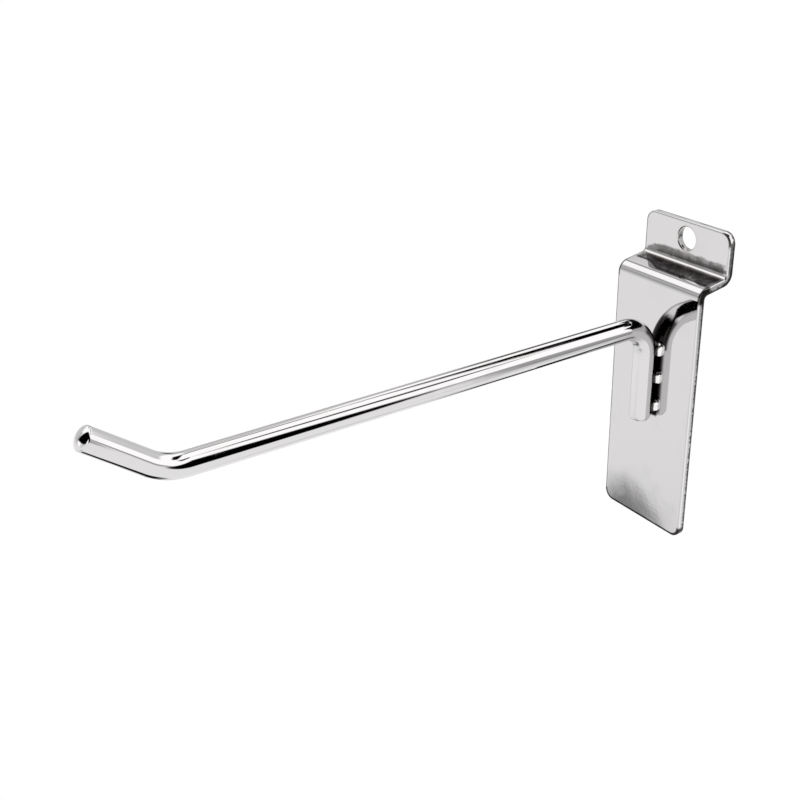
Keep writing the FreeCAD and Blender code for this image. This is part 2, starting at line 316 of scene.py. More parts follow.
def finish_tree(net, geometry, finish):
    """Realize Instances, smooth shading and Set Material end every tree."""
    real = net.add("GeometryNodeRealizeInstances", None, {"Geometry": geometry})
    smooth = net.add("GeometryNodeSetShadeSmooth", None, {"Geometry": real})
    dressed = net.add("GeometryNodeSetMaterial", None, {"Geometry": smooth, "Material": finish})
    net.add("NodeGroupOutput", None, {"Geometry": dressed})


def grow(name, seed_mesh, tree, sizes, finish):
    """Runs the tree on a seed mesh and returns a plain mesh object."""
    carrier = bpy.data.objects.new(name + "_carrier", seed_mesh)
    bpy.context.scene.collection.objects.link(carrier)
    modifier = carrier.modifiers.new("tree", "NODES")
    modifier.node_group = tree
    for item in tree.interface.items_tree:
        if item.in_out == "INPUT" and item.name in sizes:
            modifier[item.identifier] = sizes[item.name]
        elif item.in_out == "INPUT" and item.name == "Finish":
            modifier[item.identifier] = finish
    bpy.context.view_layer.update()
    depsgraph = bpy.context.evaluated_depsgraph_get()
    mesh = bpy.data.meshes.new_from_object(carrier.evaluated_get(depsgraph))
    bpy.data.objects.remove(carrier)
    piece = bpy.data.objects.new(name, mesh)
    mesh.name = name
    bpy.context.scene.collection.objects.link(piece)
    report(piece)
    return piece


def report(piece):
    """Prints what a piece came out as, and stops if its surface isn't closed."""
    shape = bmesh.new()
    shape.from_mesh(piece.data)
    open_edges = sum(1 for edge in shape.edges if len(edge.link_faces) != 2)
    volume = shape.calc_volume(signed=True) / MM**3
    shape.free()
    low = [round(min(v.co[i] for v in piece.data.vertices) / MM, 2) for i in range(3)]
    high = [round(max(v.co[i] for v in piece.data.vertices) / MM, 2) for i in range(3)]
    piece.data.calc_loop_triangles()
    print(
        f"{piece.name}: {len(piece.data.loop_triangles)} triangles, {volume:.1f} mm3,"
        f" {low} to {high} mm, {open_edges} open edges"
    )
    if open_edges or volume <= 0:
        raise ValueError(f"{piece.name} is not a closed solid with its faces outwards")


# %% [markdown]
# ## The wire
# The hook arm is 5.9 mm wire, cut from a coil, its free end crowned so that it can't scratch, then
# bent twice: a short leg lies on the plate, and the tip turns up so that goods don't slide off.
# A curve with a round bevel would follow the line, but its ends stay flat. Here the wire's line is a
# row of points that carry two numbers each: how far round to bend there, and how thick the wire is.
# Geometry Nodes rounds the corners and sweeps the section, and the thickness shapes both ends.

# %% Sizes of the wire
# in millimetres and radians
WIRE_RADIUS = 2.95
LEG_DEPTH = 5.05
LEG_DROP = 28.3
LEG_BEND = 8.0
RUN_START = LEG_DEPTH + LEG_BEND
RUN_LENGTH = 124.5
TIP_BEND = 15.0
TIP_ANGLE = math.radians(37.0)
TIP_LENGTH = 15.4
CUT_EDGE = 1.5
CUT_BULGE = 0.05
CROWN_RADIUS = 4.6
CROWN_EDGE = 0.9
print(f"wire {2 * WIRE_RADIUS:.1f} mm thick, {RUN_LENGTH:.1f} mm run, tip {TIP_LENGTH:.1f} mm")

# %% The two ends of the wire
EDGE_STEPS = 12
DOME_STEPS = 14
CROWN_EDGE_STEPS = 10
FIRST_RING = 0.02


def cut_end():
    """(distance from the end, radius) down the cut end: a nearly flat face, then a rounded edge."""
    face = WIRE_RADIUS - CUT_EDGE
    rings = [(CUT_BULGE * q * q, face * q) for q in (FIRST_RING, 0.5, 0.9)]
    for step in range(EDGE_STEPS + 1):
        angle = math.pi / 2 * step / EDGE_STEPS
        depth = CUT_EDGE - (CUT_EDGE - CUT_BULGE) * math.cos(angle)
        rings.append((depth, face + CUT_EDGE * math.sin(angle)))
    return rings


def crowned_end():
    """(distance from the end, radius) down the crown: a dome, then a smaller round into the side."""
    edge_centre = WIRE_RADIUS - CROWN_EDGE
    meet = math.asin(edge_centre / (CROWN_RADIUS - CROWN_EDGE))
    dome = [meet * (FIRST_RING + (1 - FIRST_RING) * step / DOME_STEPS) for step in range(DOME_STEPS + 1)]
    rings = [(CROWN_RADIUS * (1 - math.cos(a)), CROWN_RADIUS * math.sin(a)) for a in dome]
    back = CROWN_RADIUS - (CROWN_RADIUS - CROWN_EDGE) * math.cos(meet)
    for step in range(1, CROWN_EDGE_STEPS + 1):
        angle = meet + (math.pi / 2 - meet) * step / CROWN_EDGE_STEPS
        rings.append((back - CROWN_EDGE * math.cos(angle), edge_centre + CROWN_EDGE * math.sin(angle)))
    return rings


crown = crowned_end()
crown_depth = crown[-1][0]
print(f"cut end {len(cut_end())} rings, crown {len(crown)} rings, {crown_depth:.2f} mm deep")

# %% The wire's line
corner = RUN_START + RUN_LENGTH + TIP_BEND * math.tan(TIP_ANGLE / 2)
tip_way = Vector((0, -math.cos(TIP_ANGLE), math.sin(TIP_ANGLE)))
straight = TIP_BEND * math.tan(TIP_ANGLE / 2) + TIP_LENGTH
apex = Vector((0, -corner, 0)) + tip_way * (straight + crown_depth)

line = [(Vector((0, -LEG_DEPTH, s - LEG_DROP)), 0.0, r) for s, r in cut_end()]
line.append((Vector((0, -LEG_DEPTH, 0)), LEG_BEND, WIRE_RADIUS))
line.append((Vector((0, -corner, 0)), TIP_BEND, WIRE_RADIUS))
line += [(apex - tip_way * s, 0.0, r) for s, r in reversed(crown)]
WIRE_LENGTH = (
    LEG_DROP - LEG_BEND + LEG_BEND * math.pi / 2
    + RUN_LENGTH
    + TIP_BEND * TIP_ANGLE + TIP_LENGTH + crown_depth
)
print(f"wire line: {len(line)} points, {WIRE_LENGTH:.1f} mm long, tip at y {apex.y:.2f}, z {apex.z:.2f} mm")

# %% [markdown]
# ### The wire's finish
# Wire is drawn through a die, which leaves fine lines along it that plating softens but doesn't
# hide. The marks have to run along the wire and round its bends, so they read two attributes that
# the wire's mesh carries, how far along a point lies and where round the section. The object's own
# coordinates alone would draw the lines straight through the bends.

# %% Drawn lines, waves and haze of the wire
chrome_wire, net, shader = new_finish("chrome_wire")
around = net.add("ShaderNodeAttribute", {"attribute_name": "around"}, None, "Vector")
along = net.add("ShaderNodeAttribute", {"attribute_name": "along"}, None, "Fac") / MM
side, top, _ = parts_of(around)
x, y, z = parts_of(in_millimetres(own_place(net)))
drawn_place = net.add("ShaderNodeCombineXYZ", None, {"X": side, "Y": top, "Z": along * 0.012})
wire_place = net.add(
    "ShaderNodeCombineXYZ", None, {"X": side * WIRE_RADIUS, "Y": top * WIRE_RADIUS, "Z": along}
)
coarse_lines = noise(drawn_place, 5.0)
fine_lines = noise(drawn_place, 19.0)
waves = noise(wire_place, 0.16, 1.0)
peel = noise(wire_place, 1.1, 1.0)
haze = handling(wire_place, 0.11)
print("wire ingredients:", len(net.tree.nodes), "nodes")

# %% [markdown]
# Goods slide over the top of the run and rub it a little warm and hazy. The side of the leg and of
# its bend that faces the plate is painted near black, which is painted shade, and its mirror image in
# the plate shows it too. The inside of the bend, where the steel was squeezed, is a little rough under
# its plating. The crowned tip was turned, which leaves rings, and the leg's cut end shows the lines
# of the shear.

# %% Where the wire was rubbed, bent and cut, and its painted shade
RUBBED_RUN = (-138.0, -128.0, -40.0, -22.0)

rubs = fade(noise(drawn_place, 9.0, 3.0), 0.5, 0.7) * fade(z, 0.6, 2.8) * band(y, *RUBBED_RUN)
bend_y = y + RUN_START
bend_z = z + LEG_BEND
reach = distance(bend_y, bend_z)
# painted shade on the outside of the leg's bend, next to the plate
outside = fade(reach, LEG_BEND + 0.1, LEG_BEND + 1.1) * fade(bend_z / reach, 0.88, 0.74)
outside = outside * fade(bend_z, -0.6, 0.2) * fade(bend_y, 0.0, 2.0)
# painted shade on the leg's side that faces the plate, joined with the bend's
behind = fade(y, -4.2, -3.2) * fade(z, -7.0, -8.5) * fade(along, 0.4, 2.5)
behind = behind + outside * (1 - behind)
squeezed = fade(reach, LEG_BEND - 0.4, LEG_BEND - 1.8)
squeezed = squeezed * fade(bend_y, -1.5, 1.0) * fade(bend_z, -1.5, 1.0)
on_crown = fade(along, WIRE_LENGTH - 2.2, WIRE_LENGTH - 1.6)
crown_rings = net.add(
    "ShaderNodeTexNoise", {"noise_dimensions": "1D"}, {"W": along, "Scale": 9.0, "Detail": 1.0}
)
cut_face = fade(along, 0.3, 0.08)
shear_lines = noise(net.add("ShaderNodeCombineXYZ", None, {"X": x, "Y": y * 0.2}), 6.0, 3.0)
print("wire ingredients and marks:", len(net.tree.nodes), "nodes")

# %% Chrome on the wire
tone = layered(
    CHROMIUM,
    ((coarse_lines - 0.5) * 0.6 + haze * 0.35, HAZED_CHROMIUM),
    (rubs * 0.55, WORN_NICKEL),
    # painted shade, near black, on the side facing the plate
    (behind * 0.96, DARK_GAP),
    (cut_face * 0.4, DULL_PLATE_AND_SHADE),
)
gloss = MIRROR_GLOSS + haze * 0.05 + rubs * 0.09 + behind * 0.1 + cut_face * 0.2 + squeezed * 0.2
height = (coarse_lines + fine_lines * 0.35) * (1 - on_crown) + waves * 9.0 + peel * 0.7
height = height + on_crown * crown_rings * 1.6 + cut_face * shear_lines * 14.0
surface(shader, tone, gloss, height)
print("chrome_wire:", len(net.tree.nodes), "nodes")

# %% [markdown]
# ### The wire's seed and tree
# Geometry Nodes reads the line as the points of a mesh without faces, because such a mesh can carry
# the bend and the thickness as named attributes, which a curve object made by hand can't. The tree
# rounds the corners, stores how far along each point lies, and sweeps a circle whose points keep
# where round the section they were.

# %% The wire's seed: a row of points with their bend and thickness
wire_seed = bpy.data.meshes.new("wire_line")
wire_seed.from_pydata([point * MM for point, _, _ in line], [(i, i + 1) for i in range(len(line) - 1)], [])
bend_layer = wire_seed.attributes.new("bend", "FLOAT", "POINT")
bend_layer.data.foreach_set("value", [bend * MM for _, bend, _ in line])
thick_layer = wire_seed.attributes.new("thickness", "FLOAT", "POINT")
thick_layer.data.foreach_set("value", [radius * MM for _, _, radius in line])
print("wire seed edges:", len(wire_seed.edges))

# %% The wire's tree
WIRE_SIZES = {"Bend Steps": 40, "Sides": 72}

tree, net, given = new_tree("bent_wire", WIRE_SIZES)
path = net.add("GeometryNodeMeshToCurve", None, {"Mesh": given["Geometry"]})
bend = net.add("GeometryNodeInputNamedAttribute", {"data_type": "FLOAT"}, {"Name": "bend"})
rounded = net.add(
    "GeometryNodeFilletCurve",
    {"mode": "POLY"},
    {"Curve": path, "Count": given["Bend Steps"], "Radius": bend},
)
length = net.add("GeometryNodeSplineParameter", None, None, "Length")
rounded = net.add(
    "GeometryNodeStoreNamedAttribute",
    {"data_type": "FLOAT", "domain": "POINT"},
    {"Geometry": rounded, "Name": "along", "Value": length},
)
section = net.add("GeometryNodeCurvePrimitiveCircle", None, {"Resolution": given["Sides"], "Radius": 1.0})
around = net.add("GeometryNodeInputPosition")
section = net.add(
    "GeometryNodeStoreNamedAttribute",
    {"data_type": "FLOAT_VECTOR", "domain": "POINT"},
    {"Geometry": section, "Name": "around", "Value": around},
)
thickness = net.add("GeometryNodeInputNamedAttribute", {"data_type": "FLOAT"}, {"Name": "thickness"})
swept = net.add(
    "GeometryNodeCurveToMesh",
    None,
    {"Curve": rounded, "Profile Curve": section, "Scale": thickness, "Fill Caps": True},
)
finish_tree(net, swept, given["Finish"])
hook_wire = grow("hook_wire", wire_seed, tree, WIRE_SIZES, chrome_wire)

# %% [markdown]
# ## The plate
# The plate starts as a flat blank sheared from 2 mm sheet, with rounded corners and a punched hole,
# and is then folded twice. Building it folded would need every rim to be modelled round the bends.
# Instead the blank is built flat, with the rolled front rim that shearing leaves, cut across where
# the folds come, and then every point is moved to where folding takes it. The sheet keeps its
# thickness, the rims follow the folds, and each point remembers its place on the flat blank.

# %% Sizes of the plate
# in millimetres, heights from the axis of the run
PLATE_WIDTH = 30.0
SHEET = 2.0
PLATE_BOTTOM = -61.0
FOLD_START = 10.0
FOLD_INSIDE = 1.2
LIP_FRONT = 7.5
LIP_FOLD_HEIGHT = 15.304
PLATE_TOP = 26.0
CORNER = 3.0
HOLE_RADIUS = 3.15
HOLE_HEIGHT = 21.2
ELECTRODE_RADIUS = 6.3
ELECTRODE_HEIGHT = -15.8
HALF = SHEET / 2
FOLD_MIDDLE = FOLD_INSIDE + HALF


def folding():
    """The middle line's pieces: where each starts along the blank, and how it is laid in the frame."""
    first = Vector((FOLD_INSIDE, FOLD_START))
    second = Vector((LIP_FRONT - FOLD_INSIDE, LIP_FOLD_HEIGHT))
    span = second - first
    lean = math.asin(2 * FOLD_MIDDLE / span.length)
    slope = math.atan2(span.y, span.x) - lean
    turn = math.pi / 2 - slope
    ledge = span.length * math.cos(lean)
    return first, second, slope, turn, ledge


first_centre, second_centre, ledge_slope, turn, ledge_length = folding()
V_FOLD_1 = FOLD_START - PLATE_BOTTOM
V_LEDGE = V_FOLD_1 + FOLD_MIDDLE * turn
V_FOLD_2 = V_LEDGE + ledge_length
V_LIP = V_FOLD_2 + FOLD_MIDDLE * turn
FOLD_1_CENTRE = (V_FOLD_1 + V_LEDGE) / 2
FOLD_2_CENTRE = (V_FOLD_2 + V_LIP) / 2
BLANK_LENGTH = V_LIP + PLATE_TOP - LIP_FOLD_HEIGHT
HOLE_V = V_LIP + HOLE_HEIGHT - LIP_FOLD_HEIGHT
print(f"blank {PLATE_WIDTH:.0f} x {BLANK_LENGTH:.2f} mm, ledge slope {math.degrees(ledge_slope):.2f} degrees")

# %% [markdown]
# ### The plate's finish
# The plate is rolled sheet, so its face has orange peel and long waves, with fine streaks up the
# blank from rolling. The places that differ follow the way it was made, so most of them read the
# blank's own coordinates, which its points keep through the folding: across, up the blank, and out
# of its middle. Painted images would do too, but they end at their resolution, and a screw hole's
# rim or a sheared side 2 mm wide shows that first.

# %% Streaks, waves and haze of the plate
chrome_sheet, net, shader = new_finish("chrome_sheet")
blank_place = in_millimetres(net.add("ShaderNodeAttribute", {"attribute_name": "blank"}, None, "Vector"))
across, up, out = parts_of(blank_place)
x, _, z = parts_of(in_millimetres(own_place(net)))
rolled_place = net.add("ShaderNodeCombineXYZ", None, {"X": across, "Y": up * 0.06, "Z": out * 0.3})
streaks = noise(rolled_place, 2.6, 3.0)
waves = noise(blank_place, 0.085, 1.0)
peel = noise(blank_place, 0.9, 1.0)
haze = handling(blank_place, 0.09)
ragged = noise(blank_place, 0.32, 3.0) - 0.5
front = fade(out, 0.2, 0.7)
rear = fade(out, -0.5, -0.95)
print("plate ingredients:", len(net.tree.nodes), "nodes")

# %% [markdown]
# #### Hollows and folds
# Shade is painted into the colour beside the leg, in the hollow of the ledge, at the foot of the
# tongue and inside the fold at the rear. This painted shade is dark and uneven, with a ragged edge,
# and it ends short of the sides; in the crease of the upper fold it is a little warm, and a black
# painted line runs along the ledge next to the first fold. Over the outside of the first fold the
# steel is stretched to a slight grain.

# %% Painted shade in the hollows, and the folds of the plate
from_fold_1 = abs(up - FOLD_1_CENTRE)
from_fold_2 = abs(up - FOLD_2_CENTRE)
inner = fade(abs(across) + ragged * 2.0, 14.4, 13.4) * front
# painted shade on the plate beside the leg
leg_shade = fade(abs(x) + ragged * 0.8, 3.7, 2.9) * fade(z, 0.6 - LEG_DROP, 1.6 - LEG_DROP)
leg_shade = leg_shade * fade(z + ragged, -6.0, -8.0) * front
# painted shade in the hollow of the ledge and at the foot of the tongue, darkest on the ledge
ledge_up = up - fade(across, -3.0, -9.5) * 2.3 + ragged * 0.6
ledge_shade = fade(ledge_up, V_LEDGE + 0.1, V_LEDGE + 0.6)
ledge_shade = ledge_shade * fade(up + ragged * 0.8, V_FOLD_2 + 0.1, V_FOLD_2 - 1.2)
# a painted black line of shade along the ledge next to the first fold
ledge_line = band(ledge_up, V_LEDGE + 0.2, V_LEDGE + 0.6, V_LEDGE + 1.0, V_LEDGE + 1.5)
lip_up = up + ragged * 1.5 + fade(across, -8.5, -14.5) * 1.7
lip_shade = fade(up, V_LIP - 1.4, V_LIP - 0.2) * fade(lip_up, V_LIP + 2.7, V_LIP + 1.9)
# painted shade in the crease of the upper fold, a little warm
warm_crease_shade = band(up, V_FOLD_2 - 1.3, V_FOLD_2 - 0.5, V_FOLD_2 + 0.2, V_FOLD_2 + 1.2)
patches = 0.78 + 0.22 * fade(noise(blank_place, 0.55, 3.0), 0.4, 0.58)
shaded_ledge = ledge_shade * inner
hollow = (ledge_shade + lip_shade * 0.9) * inner * patches
# painted shade inside the first fold at the rear
rear_hollow = fade(from_fold_1, 3.0, 1.0) * rear
stretched = fade(from_fold_1, 2.2, 0.8) * front
print("with its hollows and folds:", len(net.tree.nodes), "nodes")

# %% [markdown]
# #### Rims
# A painted reflection runs round the rolled rim as a dark line. It is mostly left out along the right
# side and the top of the tongue, and strongest at the tongue's right corner. At the foot and at the
# first fold the rim is painted near black as painted shade, and a painted highlight runs along the
# very edge. All of these follow one number, the distance from the blank's rim round its rounded
# corners.

# %% Rims of the plate: painted reflection, shade and highlight
beyond_x = abs(across) - (PLATE_WIDTH / 2 - CORNER)
beyond_up = abs(up - BLANK_LENGTH / 2) - (BLANK_LENGTH / 2 - CORNER)
inside = beyond_x.at_least(beyond_up).at_most(0.0)
from_rim = CORNER - distance(beyond_x.at_least(0.0), beyond_up.at_least(0.0)) - inside

# where the rim's painted reflection is mostly left out
bright_side = fade(across, 12.9, 14.0) * fade(up, BLANK_LENGTH - 3.0, BLANK_LENGTH - 4.2)
bright_top = fade(up, BLANK_LENGTH - 1.6, BLANK_LENGTH - 0.9) * fade(across, 12.4, 11.6)
# painted reflection: a dark line round the rolled rim
dark_rim = fade(from_rim + ragged * 0.25, 0.62, 0.34) * fade(out, 0.5, 0.65)
dark_rim = dark_rim * (1 - 0.85 * (bright_side + bright_top * 0.7))
top_corner = fade(across, 12.0, 13.0) * fade(up, BLANK_LENGTH - 4.0, BLANK_LENGTH - 3.0)
# painted shade along the foot's rim and at the first fold's rim
foot_rim = fade(up, 3.8, 2.8) * fade(from_rim + ragged * 0.3, 0.95, 0.65)
fold_rim = fade(from_fold_1, 3.0, 2.0) * fade(from_rim, 0.8, 0.5)
# painted highlight along the very edge
rim_highlight = fade(from_rim, 0.16, 0.03) * fade(out, 0.15, 0.4) * (1 - top_corner) * (1 - foot_rim)
print("with its rims:", len(net.tree.nodes), "nodes")

# %% [markdown]
# #### Sheared sides, hole and rear
# A shear cuts the front part of the thickness cleanly, which leaves it burnished, and tears the
# rest, which stays rough, so the plating on it looks dark, with a wavy line between the two. Beside
# the folds the side is painted darker still, which is painted shade. The screw hole's wall is torn
# too, and its rim is worn by screws. The rear face, which nobody sees, is hazier, and the round mark
# of the welding electrode can just be seen on it.

# %% Sheared sides, hole and rear of the plate
sheared = fade(abs(across), PLATE_WIDTH / 2 - 0.12, PLATE_WIDTH / 2 - 0.03)
shear_lines = noise(net.add("ShaderNodeCombineXYZ", None, {"X": out * 0.15, "Y": up}), 3.2, 3.0)
tear_place = net.add("ShaderNodeCombineXYZ", None, {"X": out * 0.15, "Y": up, "Z": across * 0.1})
tear = noise(tear_place, 1.5, 2.0) - 0.5
torn = fade(out + tear * 1.6, -0.1, -0.42) * fade(from_rim, 0.3, 0.1)
tongue_side = band(up, V_LIP - 1.0, V_LIP + 0.5, BLANK_LENGTH - 2.0, BLANK_LENGTH - 1.0)
tongue_side = tongue_side * fade(out + tear, 0.75, 0.45)
# painted shade on the sides beside the folds
fold_side_shade = fade(abs(up - FOLD_1_CENTRE + tear), 2.9, 1.9) * fade(out, 0.85, 0.6)
fold_side_shade = (fold_side_shade + fade(from_fold_2, 3.0, 1.6) * fade(out, 0.1, -0.2)) * sheared

hole_way = distance(across, up - HOLE_V)
hole_wear = fade(hole_way + ragged * 0.8, 4.6, 3.3) * front
hole_wall = fade(hole_way, HOLE_RADIUS + 0.4, HOLE_RADIUS + 0.1) * fade(out, 0.8, 0.4)
mark_way = distance(x, z - ELECTRODE_HEIGHT)
electrode = fade(mark_way, ELECTRODE_RADIUS + 0.2, ELECTRODE_RADIUS - 0.2) * rear
print("with its sides, hole and rear:", len(net.tree.nodes), "nodes")

# %% Chrome on the plate
tone = layered(
    ROLLED_CHROMIUM,
    (haze * 0.5 + (streaks - 0.5) * 0.25, HAZED_CHROMIUM),
    # painted shade beside the leg, near black
    (leg_shade * 0.98, DARK_GAP),
    # painted shade in the upper fold's crease, warm
    (warm_crease_shade * inner * 0.6, WARM_CREASE_SHADE),
    # painted shade in the hollows, darker on the ledge
    (hollow, blend(shaded_ledge, DULL_PLATE_AND_SHADE, LEDGE_SHADE)),
    # painted reflection: the dark line round the rim
    ((dark_rim * 0.85).at_least(top_corner * dark_rim), DARK_RIM),
    # painted highlight on the very edge
    (rim_highlight * 0.6, RIM_HIGHLIGHT),
    (tongue_side * sheared * 0.8, TORN_STEEL),
    # the torn part of the sides near black, and painted shade beside the folds
    ((torn * 0.9 + fold_side_shade).at_most(1.0) * 0.98, DARK_GAP),
    # painted shade, near black, at the rims of the foot and the first fold
    (foot_rim.at_least(fold_rim * 0.9) * 0.97, DARK_GAP),
    # painted shade: a black line along the ledge
    (ledge_line * inner * 0.85, DARK_GAP),
    (hole_wall * 0.8, TORN_STEEL),
    # painted shade inside the rear of the first fold
    (rear_hollow * 0.7, DULL_PLATE_AND_SHADE),
    (hole_wear * 0.25, WORN_NICKEL),
    (electrode * 0.15, WORN_NICKEL),
)
gloss = MIRROR_GLOSS + haze * 0.04 + leg_shade * 0.1 + hollow * 0.12 + rear_hollow * 0.2
gloss = gloss + stretched * 0.035 + sheared * 0.16 + rear * 0.07 + electrode * 0.05 + hole_wear * 0.06
height = waves * 16.0 + peel * 1.4 + streaks * 0.25 * (1 - sheared) + sheared * shear_lines * 3.0
height = height + stretched * noise(rolled_place, 7.0, 2.0) * 0.8
surface(shader, tone, gloss, height)
print("chrome_sheet:", len(net.tree.nodes), "nodes")

# %% [markdown]
# ### How folding moves a point
# The fold is worked out for the sheet's middle line, which keeps its length, so that the inside of a
# bend is squeezed and the outside stretched by the same amount, as in the real press.

# %% The folding rule
def folded(across, v, w):
    """Where folding takes the blank's point: across, v up the blank, w out of it towards the front."""
    if v <= V_FOLD_1:
        y, z = -HALF - w, PLATE_BOTTOM + v
    elif v <= V_LEDGE:
        angle = (v - V_FOLD_1) / FOLD_MIDDLE
        reach = FOLD_MIDDLE + w
        y, z = first_centre.x - reach * math.cos(angle), first_centre.y + reach * math.sin(angle)
    elif v <= V_FOLD_2:
        normal = Vector((-math.cos(turn), math.sin(turn)))
        start = first_centre + normal * FOLD_MIDDLE
        along = Vector((math.cos(ledge_slope), math.sin(ledge_slope)))
        y, z = start + along * (v - V_LEDGE) + normal * w
    elif v <= V_LIP:
        angle = turn - (v - V_FOLD_2) / FOLD_MIDDLE
        reach = FOLD_MIDDLE - w
        y, z = second_centre.x + reach * math.cos(angle), second_centre.y - reach * math.sin(angle)
    else:
        y, z = LIP_FRONT + HALF - w, LIP_FOLD_HEIGHT + v - V_LIP
    return Vector((across, y, z))


print("folds start at", [round(v, 2) for v in (V_FOLD_1, V_FOLD_2)], "mm up the blank")

# %% [markdown]
# ### The flat blank
# Shearing and punching roll the front rim over and leave a small burr at the rear. A Bevel
# modifier would round both alike, so each rim is a stack of rings instead, from the front face
# over the roll and down the side to the rear face. The two faces are filled between the outline
# and the hole.

# %% Rims of the flat blank
# in millimetres
FRONT_ROLL = 0.35
HOLE_ROLL = 0.45
REAR_BURR = 0.14
SUPPORT = 0.06
ROLL_STEPS = 6
BURR_STEPS = 3
CORNER_STEPS = 12
HOLE_STEPS = 64


def rim(roll):
    """(inset, w) from the front face over the rolled rim and the sheared side to the rear face."""
    steps = [(roll + SUPPORT, HALF)]
    for step in range(ROLL_STEPS + 1):
        angle = math.pi / 2 * step / ROLL_STEPS
        steps.append((roll * (1 - math.sin(angle)), HALF - roll * (1 - math.cos(angle))))
    for step in range(BURR_STEPS + 1):
        angle = math.pi / 2 * step / BURR_STEPS
        steps.append((REAR_BURR * (1 - math.cos(angle)), -HALF + REAR_BURR * (1 - math.sin(angle))))
    steps.append((REAR_BURR + SUPPORT, -HALF))
    return steps


def outline(inset):
    """The blank's outline, pulled in by an inset, as points (across, v)."""
    points = []
    reach = CORNER - inset
    centres = [(1, CORNER), (1, BLANK_LENGTH - CORNER), (-1, BLANK_LENGTH - CORNER), (-1, CORNER)]
    for quarter, (side, v) in enumerate(centres):
        for step in range(CORNER_STEPS + 1):
            angle = math.radians(90 * (quarter - 1) + 90 * step / CORNER_STEPS)
            points.append((
                side * (PLATE_WIDTH / 2 - CORNER) + reach * math.cos(angle),
                v + reach * math.sin(angle),
            ))
    return points


def hole_rim(inset):
    """The hole's edge, widened by an inset, as points (across, v)."""
    reach = HOLE_RADIUS + inset
    angles = [math.tau * i / HOLE_STEPS for i in range(HOLE_STEPS)]
    return [(reach * math.cos(a), HOLE_V + reach * math.sin(a)) for a in angles]


def add_rim(shape, ring_points, steps):
    """Adds the rings of one rim with the faces between them, and returns the first and the last ring."""
    rings = [[shape.verts.new((x, v, w)) for x, v in ring_points(inset)] for inset, w in steps]
    for upper, lower in zip(rings, rings[1:]):
        count = len(upper)
        for i in range(count):
            j = (i + 1) % count
            shape.faces.new((upper[i], upper[j], lower[j], lower[i]))
    return rings[0], rings[-1]


def ring_edges(shape, ring):
    return [shape.edges.get((a, b)) for a, b in zip(ring, ring[1:] + ring[:1])]


blank = bmesh.new()
outer_front, outer_rear = add_rim(blank, outline, rim(FRONT_ROLL))
hole_front, hole_rear = add_rim(blank, hole_rim, rim(HOLE_ROLL))
for outer, inner in ((outer_front, hole_front), (outer_rear, hole_rear)):
    edges = ring_edges(blank, outer) + ring_edges(blank, inner)
    bmesh.ops.triangle_fill(blank, use_beauty=True, use_dissolve=False, edges=edges)
print(f"flat blank: {len(blank.verts)} points, {len(blank.faces)} faces")

# %% [markdown]
# ### Cutting and folding
# A fold turns only where the mesh has points, so both bends are first cut across into narrow
# strips. Then each point notes where it was on the flat blank, for the finish, and moves.

# %% Cut and fold the blank
FOLD_STEPS = 24
SAME_POINT = 1e-5

cuts = []
for start, end in ((V_FOLD_1, V_LEDGE), (V_FOLD_2, V_LIP)):
    cuts += [start - SUPPORT] + [start + (end - start) * i / FOLD_STEPS for i in range(FOLD_STEPS + 1)]
    cuts += [end + SUPPORT]
for cut in cuts:
    everything = blank.verts[:] + blank.edges[:] + blank.faces[:]
    bmesh.ops.bisect_plane(
        blank, geom=everything, dist=SAME_POINT, plane_co=(0, cut, 0), plane_no=(0, 1, 0)
    )
bmesh.ops.triangulate(blank, faces=[f for f in blank.faces if len(f.verts) > 4])

place = blank.verts.layers.float_vector.new("blank")
for vert in blank.verts:
    vert[place] = vert.co * MM
    vert.co = folded(*vert.co) * MM
for face in blank.faces:
    face.smooth = True
bmesh.ops.recalc_face_normals(blank, faces=blank.faces)
plate_mesh = bpy.data.meshes.new("wall_plate")
blank.to_mesh(plate_mesh)
blank.free()
plate_mesh.materials.append(chrome_sheet)
wall_plate = bpy.data.objects.new("wall_plate", plate_mesh)
bpy.context.scene.collection.objects.link(wall_plate)
report(wall_plate)

# %% [markdown]
# ## The welds
# Three small nuggets of weld metal hold the leg to the plate and stand out beside it. A weld cools
# with a lumpy skin of fine ripples and small pits, and plating follows every one. It reads as a
# brighter, softer silver than the mirror beside it, so it gets a higher roughness and a coarse
# height map in place of the mirror's long waves. Close under the wire the bead is painted near black,
# a painted reflection of the wire's dark back.

# %% Plated weld metal
WELD_SKIN = (0.93, 0.925, 0.92)
WELD_VALLEY = (0.80, 0.79, 0.77)
WELD_GLOSS = 0.22

weld_metal, net, shader = new_finish("weld_metal")
place = in_millimetres(own_place(net))
x, y, _ = parts_of(place)
ripples = noise(place, 2.6, 3.0)
grain = noise(place, 11.0, 2.0)
pits = fade(noise(place, 5.0, 1.0), 0.36, 0.26)
# painted reflection of the wire's dark back, close under the wire
under_wire = fade(distance(x, y + LEG_DEPTH) + (ripples - 0.5) * 0.5, 3.9, 3.5)
tone = layered(
    WELD_SKIN,
    (fade(ripples, 0.45, 0.7), WELD_VALLEY),
    (pits * 0.7, DULL_PLATE_AND_SHADE),
    # painted reflection, near black, close under the wire
    (under_wire * 0.95, DARK_GAP),
)
gloss = WELD_GLOSS + (grain - 0.5) * 0.12 + pits * 0.25
surface(shader, tone, gloss, ripples * 34.0 + grain * 4.0 - pits * 20.0)
print("weld_metal:", len(net.tree.nodes), "nodes")

# %% [markdown]
# ### The beads' shape
# A row of three points carries a ball each, blunted towards a rounded box and stretched. Noise
# pushes the skin in and out for the lumps, and everything behind the plate's face is flattened
# against it, so that each bead sits on the plate and its edge stays ragged. A modelled bead copied
# three times would show the same lumps.

